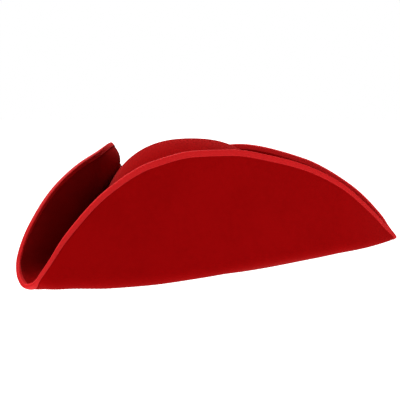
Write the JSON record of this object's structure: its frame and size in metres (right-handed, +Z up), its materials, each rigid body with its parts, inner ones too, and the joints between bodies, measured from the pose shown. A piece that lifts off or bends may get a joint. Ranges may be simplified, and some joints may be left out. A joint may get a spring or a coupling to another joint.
{
  "type": "tricorn hat",
  "caption": "Red felt tricorn hat: a domed crown, a wide brim cocked up on three sides into flaps and gutters, and a ribbon bound over the rim.",
  "frame": {"origin": "middle of the hat's bounding box, on the surface that its underside rests on", "axes": "+Z up through the crown, -Y towards the front tip, +X towards the wearer's left side tip"},
  "size_m": [0.3448, 0.304, 0.1116],
  "materials": {
    "felt": "matt red wool felt",
    "ribbon": "red ribbed ribbon, a little lighter than the felt"
  },
  "bodies": {
    "root": {"crown": "felt", "brim": "felt", "edge_binding": "ribbon"}
  },
  "joints": []
}
